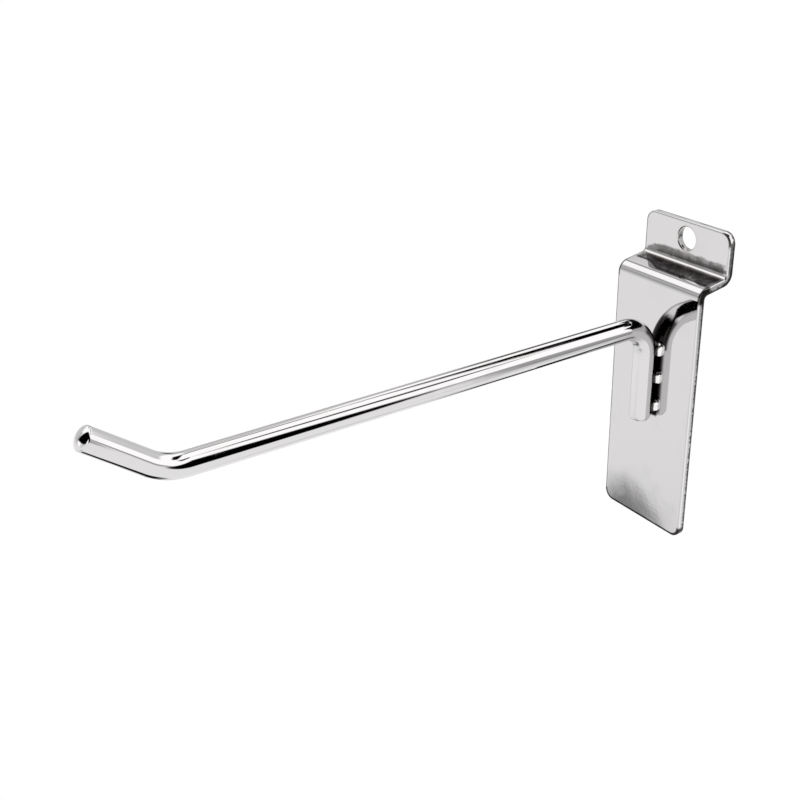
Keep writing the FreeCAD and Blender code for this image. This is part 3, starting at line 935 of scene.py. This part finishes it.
# %% Sizes of the welds
BLUNTNESS = 3.5
BALL_SUBDIVISIONS = 5
LUMP_SCALE = 700.0
LUMP_MIDDLE = 0.62
SEED_STEP = 1.7
SEATED = 0.05
WELD_SIZES = {
    "Count": 3,
    "Top": -7.4 * MM,
    "Pitch": 8.2 * MM,
    "Half Width": 4.0 * MM,
    "Rise": 2.2 * MM,
    "Half Length": 2.1 * MM,
    "Lumps": 0.28 * MM,
    # in radians
    "Tilt": 0.05,
    "Seed": 4,
}
print("welds at", [round((WELD_SIZES["Top"] - WELD_SIZES["Pitch"] * i) / MM, 1) for i in range(3)], "mm")

# %% The weld's tree: a row of blunted, stretched balls
tree, net, given = new_tree("weld_beads", WELD_SIZES)
start = net.add("ShaderNodeCombineXYZ", None, {"Y": -SHEET * MM, "Z": given["Top"]})
step = net.add("ShaderNodeCombineXYZ", None, {"Z": given["Pitch"] * -1})
row = net.add(
    "GeometryNodeMeshLine", None, {"Count": given["Count"], "Start Location": start, "Offset": step}
)
ball = net.add("GeometryNodeMeshIcoSphere", None, {"Radius": 1.0, "Subdivisions": BALL_SUBDIVISIONS})
ball_place = net.add("GeometryNodeInputPosition")
ball_x, ball_y, ball_z = parts_of(ball_place)
blunt = (abs(ball_x) ** BLUNTNESS + abs(ball_z) ** BLUNTNESS) ** (1 / BLUNTNESS)
swell = 1 / distance(blunt, ball_y)
blunted = net.add("ShaderNodeVectorMath", {"operation": "SCALE"}, {0: ball_place, "Scale": swell})
ball = net.add("GeometryNodeSetPosition", None, {"Geometry": ball, "Position": blunted})
stretch = net.add(
    "ShaderNodeCombineXYZ", None, {"X": given["Half Width"], "Y": given["Rise"], "Z": given["Half Length"]}
)
lean = net.add(
    "FunctionNodeRandomValue",
    {"data_type": "FLOAT"},
    {2: given["Tilt"] * -1, 3: given["Tilt"], "Seed": given["Seed"]},
    1,
)
beads = net.add(
    "GeometryNodeInstanceOnPoints",
    None,
    {
        "Points": row,
        "Instance": ball,
        "Scale": stretch,
        "Rotation": net.add("ShaderNodeCombineXYZ", None, {"Y": lean}),
    },
)
beads = net.add("GeometryNodeRealizeInstances", None, {"Geometry": beads})
print("weld row:", len(tree.nodes), "nodes")

# %% Lumps on the skin, and a flat seat on the plate
lumps = net.add(
    "ShaderNodeTexNoise",
    {"noise_dimensions": "4D"},
    {
        "Vector": net.add("GeometryNodeInputPosition"),
        "W": given["Seed"] * SEED_STEP,
        "Scale": LUMP_SCALE,
        "Detail": 2.0,
    },
)
push = net.add(
    "ShaderNodeVectorMath",
    {"operation": "SCALE"},
    {"Vector": net.add("GeometryNodeInputNormal"), "Scale": (lumps - LUMP_MIDDLE) * given["Lumps"] * 2},
)
beads = net.add("GeometryNodeSetPosition", None, {"Geometry": beads, "Offset": push})
skin_x, skin_y, skin_z = parts_of(net.add("GeometryNodeInputPosition"))
flat_y = skin_y.at_most(-(SHEET - SEATED) * MM)
seat = net.add("ShaderNodeCombineXYZ", None, {"X": skin_x, "Y": flat_y, "Z": skin_z})
beads = net.add("GeometryNodeSetPosition", None, {"Geometry": beads, "Position": seat})
finish_tree(net, beads, given["Finish"])
weld_beads = grow("weld_beads", bpy.data.meshes.new("weld_seed"), tree, WELD_SIZES, weld_metal)

# %% [markdown]
# ## The studio that the chrome shows
# Polished chrome has no looks of its own. What the photograph shows on it are the photographer's
# table, two walls of white card, and the dark room between and over them. Rendered in plain white,
# the same hook looks like plaster, so the studio is part of the material study.
#
# The cards could be real panels round the hook, but then every shift of one would need its place,
# size and turn. They stand far off compared with the hook's size, so only their direction counts,
# and each is given by the corners that it has in the sky: azimuth 0 looks straight away from the
# wall and grows towards the right, and the elevation is over the horizon. An edge is a great circle,
# the side of it where a direction lies is one dot product, and a smooth step makes it soft. Only
# glossy rays see these cards. The camera sees a white strength of 1, and so do rays through glass,
# while dull surfaces are lit by a plain even light.

# %% Cards of the studio
SOFTBOX_TONE = 1.5
TABLE_TONE = 1.12
STUDIO = (
    # what it is, tone, softness of its edges, corners as (azimuth, elevation), all in degrees
    ("table further down", 1.04, 4, ((-90, -22), (0, -22), (20, -50), (-90, -60))),
    ("left wall", 0.66, 4, ((-140, -4), (-95, -4), (-95, 29), (-135, 32))),
    ("back wall, right half", 0.85, 3, ((158, -4), (-165, -4), (-165, 28), (160, 26))),
    ("back wall, left half", 0.80, 3, ((-165, -4), (-130, -4), (-130, 26), (-165, 28))),
    ("shade left of the camera", 0.80, 8, ((-95, -5), (-35, -5), (-38, 28), (-90, 35))),
    ("shade above the table's edge", 0.5, 6, ((-36, 6), (-48, 6), (-48, 24), (-36, 24))),
    ("grey room behind the camera", 0.88, 5, ((-14, -6), (60, -6), (60, 18), (-14, 18))),
    ("dark room in front and above", 0.0, 3, ((-38, 12), (50, 8.5), (110, 40), (105, 66), (-50, 80))),
    ("dark flag on the right", 0.0, 2.5, (
        (90, -13), (114, -11), (121.5, 0), (123, 8), (119.5, 25), (115, 41), (86, 44),
    )),
    ("gap over the back wall", 0.0, 2, (
        (-135, 51), (-162, 45), (160, 41.5), (155, 52), (180, 57), (-140, 59),
    )),
    ("gap over the left wall", 0.3, 2, ((-104, 50), (-138, 50), (-142, 58), (-106, 57))),
    ("seam of the left wall", 0.05, 2, ((-123, 8), (-133, 10), (-134, 25), (-126, 26))),
    ("lamp stand behind", 0.05, 2, ((134, 62), (134.5, 43), (148, 44), (147, 64))),
    ("flag's grey edge", 0.48, 2.5, ((121, 10), (125, -16), (138, -14), (127, 11))),
    ("table's edge, upper", 0.40, 2, ((126, -8), (157, -8), (157, -23), (126, -23))),
    ("table's edge, lower", 0.85, 3, ((128, -24), (160, -24), (160, -36), (128, -36))),
    ("table's far edge", 0.40, 2, ((-104, -35), (-132, -35), (-132, -17), (-104, -17))),
    ("tripod's foot, left", 0.0, 3, (
        (-22, -76), (-60, -66), (-92, -57), (-100, -62), (-130, -79), (-180, -87), (0, -86),
    )),
    ("shade on the table, behind", 0.86, 2, ((138, -57), (180, -54), (180, -61), (138, -65))),
    ("tripod's foot, right", 0.1, 2, ((2, -49), (27, -43), (29, -48), (15, -55), (6, -55))),
    ("shade on the table, left", 0.28, 0.5, (
        (-46, -29.0), (-45.2, -29.0), (-43.0, -31.2), (-43, -34), (-47, -34),
    )),
    ("tripod's foot, front", 0.0, 1.5, (
        (-28, -46), (-10, -50.5), (11, -50), (12, -54.5), (-8, -56.5), (-30, -52),
    )),
    ("tripod's foot, behind", 0.0, 2, (
        (-147, -46), (-170, -50), (177, -52), (177, -58), (-165, -58), (-145, -52),
    )),
    ("tripod's shade", 0.1, 2, ((-90, -58), (-99, -42), (-108, -37), (-113, -43), (-99, -62))),
    ("dark slot over the left wall", 0.45, 2, ((-43, 27), (-52, 27), (-56, 36), (-46, 36))),
    ("grey top of the left wall", 0.5, 3, ((-104, 40), (-124, 34), (-124, 46), (-104, 50))),
)
print(f"{len(STUDIO)} cards, softbox {SOFTBOX_TONE}, table {TABLE_TONE}")

# %% Masks on the sky
def direction_of(azimuth, elevation):
    azimuth, elevation = math.radians(azimuth), math.radians(elevation)
    return Vector((
        math.sin(azimuth) * math.cos(elevation),
        -math.cos(azimuth) * math.cos(elevation),
        math.sin(elevation),
    ))


def edge_mask(way, normal, softness):
    """1 on the side of a great circle that its normal points to, 0 on the other side."""
    side = way.net.add("ShaderNodeVectorMath", {"operation": "DOT_PRODUCT"}, {0: way, 1: normal}, "Value")
    reach = math.sin(math.radians(softness))
    return fade(side, -reach, reach)


def card_mask(way, corners, softness):
    """1 inside the card."""
    points = [direction_of(*corner) for corner in corners]
    middle = sum(points, Vector())
    mask = None
    for start, end in zip(points, points[1:] + points[:1]):
        normal = start.cross(end).normalized()
        if normal.dot(middle) < 0:
            normal.negate()
        edge = edge_mask(way, normal, softness)
        mask = edge if mask is None else mask * edge
    return mask


def ray_is(net, kind):
    """1 for a ray of this kind, 0 for any other."""
    return net.add("ShaderNodeLightPath", None, None, f"Is {kind} Ray")


def background_ray(net):
    """1 for the rays that should meet the plain white background: the camera's, also through glass."""
    return ray_is(net, "Camera").at_least(ray_is(net, "Transmission"))


print("straight away from the wall is", [round(number, 1) for number in direction_of(0, 0)])

# %% World
EVEN_LIGHT = 0.5
HORIZON_SOFTNESS = 4.0

world = bpy.data.worlds.new("studio")
bpy.context.scene.world = world
world.use_nodes = True
world.node_tree.nodes.clear()
net = Net(world.node_tree)
way = net.add("ShaderNodeTexCoord", None, None, "Generated")
table = edge_mask(way, Vector((0, 0, -1)), HORIZON_SOFTNESS)
seen = SOFTBOX_TONE * (1 - table) + TABLE_TONE * table
for _, tone, softness, corners in STUDIO:
    mask = card_mask(way, corners, softness)
    seen = seen * (1 - mask) + mask * tone
glossy = ray_is(net, "Glossy")
clear = background_ray(net)
strength = EVEN_LIGHT * (1 - glossy) + seen * glossy
strength = strength * (1 - clear) + clear
light = net.add("ShaderNodeBackground", None, {"Color": (1, 1, 1, 1), "Strength": strength})
net.add("ShaderNodeOutputWorld", None, {"Surface": light})
print("world:", len(world.node_tree.nodes), "nodes")

# %% [markdown]
# ## Floor and lamp
# The hook hangs on nothing in the photograph, so a white floor lies well below it and only carries a
# faint soft shadow. A little of its own light, for the camera and for glass, lifts it to the white
# of the background without more light on the hook. Glossy rays pass through it, because the table
# that they should see is painted in the world, and the same goes for the lamp: its softbox is there.

# %% Floor
FLOOR_HEIGHT = -0.32
FLOOR_REACH = 30.0
FLOOR_COLOUR = 0.84
FLOOR_MOTTLE = 0.01
FLOOR_LIFT = 0.18

corners = [(-1, -1), (1, -1), (1, 1), (-1, 1)]
floor_mesh = bpy.data.meshes.new("floor")
floor_mesh.from_pydata(
    [(a * FLOOR_REACH, b * FLOOR_REACH, FLOOR_HEIGHT) for a, b in corners], [], [(0, 1, 2, 3)]
)
floor = bpy.data.objects.new("floor", floor_mesh)
bpy.context.scene.collection.objects.link(floor)
floor.visible_glossy = False
floor_paint = bpy.data.materials.new("floor_paint")
floor_paint.use_nodes = True
floor_paint.node_tree.nodes.clear()
net = Net(floor_paint.node_tree)
card = blend(noise(own_place(net), 3.0), (FLOOR_COLOUR - FLOOR_MOTTLE,) * 3, (FLOOR_COLOUR,) * 3)
matt = net.add("ShaderNodeBsdfDiffuse", None, {"Color": card})
lift = net.add(
    "ShaderNodeEmission", None, {"Color": (1, 1, 1, 1), "Strength": background_ray(net) * FLOOR_LIFT}
)
both = net.add("ShaderNodeAddShader", None, {0: matt, 1: lift})
net.add("ShaderNodeOutputMaterial", None, {"Surface": both})
floor_mesh.materials.append(floor_paint)
print("floor at", FLOOR_HEIGHT, "m")

# %% Lamp
SUN_STRENGTH = 1.9
SUN_WIDTH = math.radians(50)
SUN_TILT = (math.radians(28), math.radians(-22), 0)

sun = bpy.data.lights.new("softbox", "SUN")
sun.energy = SUN_STRENGTH
sun.angle = SUN_WIDTH
lamp = bpy.data.objects.new("softbox", sun)
lamp.rotation_euler = SUN_TILT
lamp.visible_glossy = False
bpy.context.scene.collection.objects.link(lamp)
print("lamp strength", SUN_STRENGTH)

# %% [markdown]
# ## Handing over
# Each visible piece is tied to the frame's one body and stands in for its solid, which is hidden.

# %% Hand the pieces over
for piece, nodes, slot in (
    (hook_wire, ("hook_rod",), "chrome_wire"),
    (wall_plate, ("back_plate",), "chrome_sheet"),
    (weld_beads, ("weld_bead_top", "weld_bead_middle", "weld_bead_bottom"), "weld_metal"),
):
    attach(piece, "root")
    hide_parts(*nodes)
